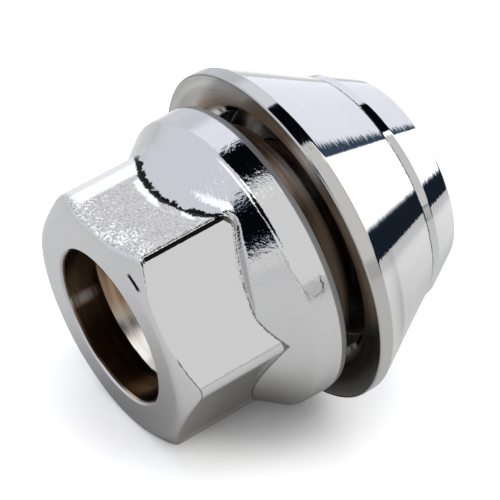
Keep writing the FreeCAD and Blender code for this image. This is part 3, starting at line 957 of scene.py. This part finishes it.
def forged_chrome():
    """The nut: chrome over a forged skin, a bare rim, and brown nickel in the bore and past the flange,
    with painted highlights, painted shade and painted reflections on it.
    """
    material, tree, shader, place, at = metal("forged_chrome")
    marks = placed(tree, TURNING_MARKS, Place=place, Fineness=4.5, Waver=1.5)
    skin = placed(tree, FORGED_SKIN, Place=place, Pebble=0.9, Grain=0.9)["Height"]
    coarse = grain(tree, place, 2.8, 3, 0.65)

    bore = covered(tree, at, radius=(-1, MOUTH + 0.1, 0.03))
    wall = covered(tree, at, station=(0.15, MOUTH_DEPTH, 0.04))
    lead = covered(tree, at, station=(MOUTH_DEPTH, LEAD_END - 0.2, 0.04))
    # The plating reaches into the lead-in cone on the side of local X
    plated = product(tree, lead, eased_step(tree, at["Across"], 4.0, 1.4))
    behind = covered(tree, at, station=(FLANGE_BACK + 0.05, FLARE_START, 0.15), radius=(0, 11.3, 1.0))
    brown = largest(tree, bore, behind)
    rim = covered(tree, at, station=(BAND_END + 0.05, FLANGE_BACK + 0.25, 0.06), radius=(11.6, 13, 0.4))
    # Painted highlight: a bright streak along the mouth's wall on one side
    painted_bore_highlight = product(tree, wall, bore, about(tree, place, at, *PAINTED_BORE_STREAK, 0.005),
                      covered(tree, at, station=(0.2, 2.2, 1.0)),
                      eased_step(tree, marks["Height"], 0.42, 0.22))
    fillet, gap, before_skirt = skirt_root(tree, place, at)
    # The two flats that face local X have a coarser skin where the die parted
    parted = product(tree, before_skirt, between(tree, out_towards(tree, place, 0), 9.465, 9.56, 0.02))

    colour = outside_colour(tree, place, at, coarse, parted, before_skirt, fillet, gap)
    colour = mixed(tree, rim, colour, BARE_RIM)
    colour = mixed(tree, brown, colour, bore_colour(tree, at, marks, wall, lead, plated, behind, painted_bore_highlight))
    tree.links.new(colour, shader.inputs["Base Color"])
    bare_lead = product(tree, bore, less(tree, lead, plated))
    rough = summed(tree, 0.035, (behind, 0.15), (rim, 0.45), (product(tree, brown, marks["Streaks"]), 0.4),
                   (bare_lead, 0.2), (painted_bore_highlight, 0.45))
    tree.links.new(rough, shader.inputs["Roughness"])
    forged = product(tree, skin, less(tree, 1.0, brown))
    height = summed(tree, 0.0, (forged, 1.6), (product(tree, marks["Height"], brown), 0.7),
                    (product(tree, coarse, parted), 5.0))
    raised(tree, shader, height)
    return material


def toned(colour, factor):
    """A colour made lighter or darker."""
    return tuple(part * factor for part in colour)


def turned_chrome():
    """The collar: bright turned chrome, a brushed land, and a dished back that dulls to brown inwards, with
    painted shade on the web's face, low on the dish and recess, and round the back edge.
    """
    material, tree, shader, place, at = metal("turned_chrome")
    marks = placed(tree, TURNING_MARKS, Place=place, Fineness=4.0, Waver=5.0)
    shade = summed(tree, -0.7, (marks["Streaks"], 2.4))

    back = covered(tree, at, station=(0, 15.9, 0.3))
    inside = product(tree, covered(tree, at, radius=(0, 12.0, 0.9)), back)
    recess = covered(tree, at, radius=(0, RECESS_RADIUS + 0.15, 0.05), station=(0, WEB_FRONT - 0.3, 0.2))
    brown = largest(tree, inside, recess)
    dish = product(tree, back, covered(tree, at, radius=(0, 13.8, 0.1)))
    land = covered(tree, at, radius=(13.9, 15, 0.06), station=(14.9, LAND_END, 0.06))
    ragged = summed(tree, at["Station"], (grain(tree, place, 2.2, 3, 0.8), 0.3))
    step_line = product(tree, between(tree, ragged, STEP_START + 0.04, STEP_START + 0.17, 0.03),
                        covered(tree, at, radius=(9.6, 10.2, 0.05)))
    # Painted shade: a dark line round the back edge of the land
    ragged = summed(tree, at["Radius"], (less(tree, marks["Streaks"], 0.5), 0.3))
    rim_line = product(tree, between(tree, ragged, 13.82, 13.985, 0.02),
                       covered(tree, at, station=(14.9, 15.065, 0.01)))
    # Painted shade: the web's face in the recess is black
    web_face = product(tree, recess, covered(tree, at, station=(RECESS_START, 19.0, 0.3)))
    # Painted shade: the dish and recess darker on their lower side
    painted_low_shade = covered(tree, at, turn=(-108.9, 5.7, 28.6), radius=(0, 13.0, 0.8), station=(0, 18.0, 0.3))

    bright = mixed(tree, shade, toned(CHROME, 0.98), toned(CHROME, 1.01))
    dull = mixed(tree, shade, toned(BRUSHED, 0.7), toned(BRUSHED, 1.15))
    colour = mixed(tree, dish, bright, dull)
    # Dark grey: a line where the cone ends at the step, and painted shade round the back edge
    colour = mixed(tree, largest(tree, step_line, rim_line), colour, STEP_GREY)
    colour = mixed(tree, land, colour, BRUSHED)
    colour = mixed(tree, brown, colour, mixed(tree, shade, DARK_BROWN, LIGHT_BROWN))
    colour = mixed(tree, web_face, colour, RECESS_BLACK)
    colour = mixed(tree, product(tree, painted_low_shade, 0.75), colour, RECESS_BLACK)
    tree.links.new(colour, shader.inputs["Base Color"])
    rough = summed(tree, 0.01, (marks["Streaks"], 0.05), (land, 0.02), (dish, 0.2),
                   (product(tree, brown, marks["Streaks"]), 0.4))
    tree.links.new(rough, shader.inputs["Roughness"])
    raised(tree, shader, product(tree, marks["Height"], 0.6))
    return material


# The floor and the lamp, in metres
FLOOR_RADIUS = 0.4
LAMP_PLACE = (-0.03, -0.04, 0.5)
LAMP_SIZE = 0.4


def floor():
    """A round sheet of white paper under the nut."""
    bm = bmesh.new()
    bmesh.ops.create_circle(bm, cap_ends=True, segments=96, radius=FLOOR_RADIUS)
    mesh = bpy.data.meshes.new("floor")
    bm.to_mesh(mesh)
    bm.free()
    mesh.materials.append(floor_paint())
    sheet = bpy.data.objects.new("floor", mesh)
    bpy.context.scene.collection.objects.link(sheet)
    return sheet


def overhead_softbox():
    """A soft light from above, which the chrome doesn't mirror."""
    light = bpy.data.lights.new("overhead_softbox", "AREA")
    light.shape = "DISK"
    light.size = LAMP_SIZE
    light.energy = 1.0
    lamp = bpy.data.objects.new("overhead_softbox", light)
    lamp.location = LAMP_PLACE
    lamp.visible_glossy = False
    bpy.context.scene.collection.objects.link(lamp)


# The camera's place is in millimetres. Its focal length is in the photograph's pixels
CAMERA_AZIMUTH = math.radians(39.248)
CAMERA_ELEVATION = math.radians(30.486)
CAMERA_ROLL = math.radians(7.934)
CAMERA_PLACE = Vector((-100.857, -123.284, 106.492))
SENSOR_WIDTH = 36
IMAGE_WIDTH = 500
FOCAL_PIXELS = 2400


def photo_camera():
    """The camera at the photograph's angle and distance."""
    lens = bpy.data.cameras.new("camera")
    lens.sensor_width = SENSOR_WIDTH
    lens.lens = FOCAL_PIXELS / IMAGE_WIDTH * SENSOR_WIDTH
    lens.clip_start = 0.005
    lens.clip_end = 20
    camera = bpy.data.objects.new("camera", lens)
    bpy.context.scene.collection.objects.link(camera)
    camera.matrix_world = (Matrix.Translation(CAMERA_PLACE * MM)
                           @ Matrix.Rotation(-CAMERA_AZIMUTH, 4, "Z")
                           @ Matrix.Rotation(math.pi / 2 - CAMERA_ELEVATION, 4, "X")
                           @ Matrix.Rotation(CAMERA_ROLL, 4, "Z"))
    return camera


nut = wheel_nut(forged_chrome())
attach(nut, "nut")
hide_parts("nut_body")

collar = seat_collar(turned_chrome())
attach(collar, "collar")
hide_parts("cone_collar")

floor()
studio_light()
overhead_softbox()
bpy.context.scene.camera = photo_camera()
bpy.context.scene.view_settings.view_transform = "Standard"
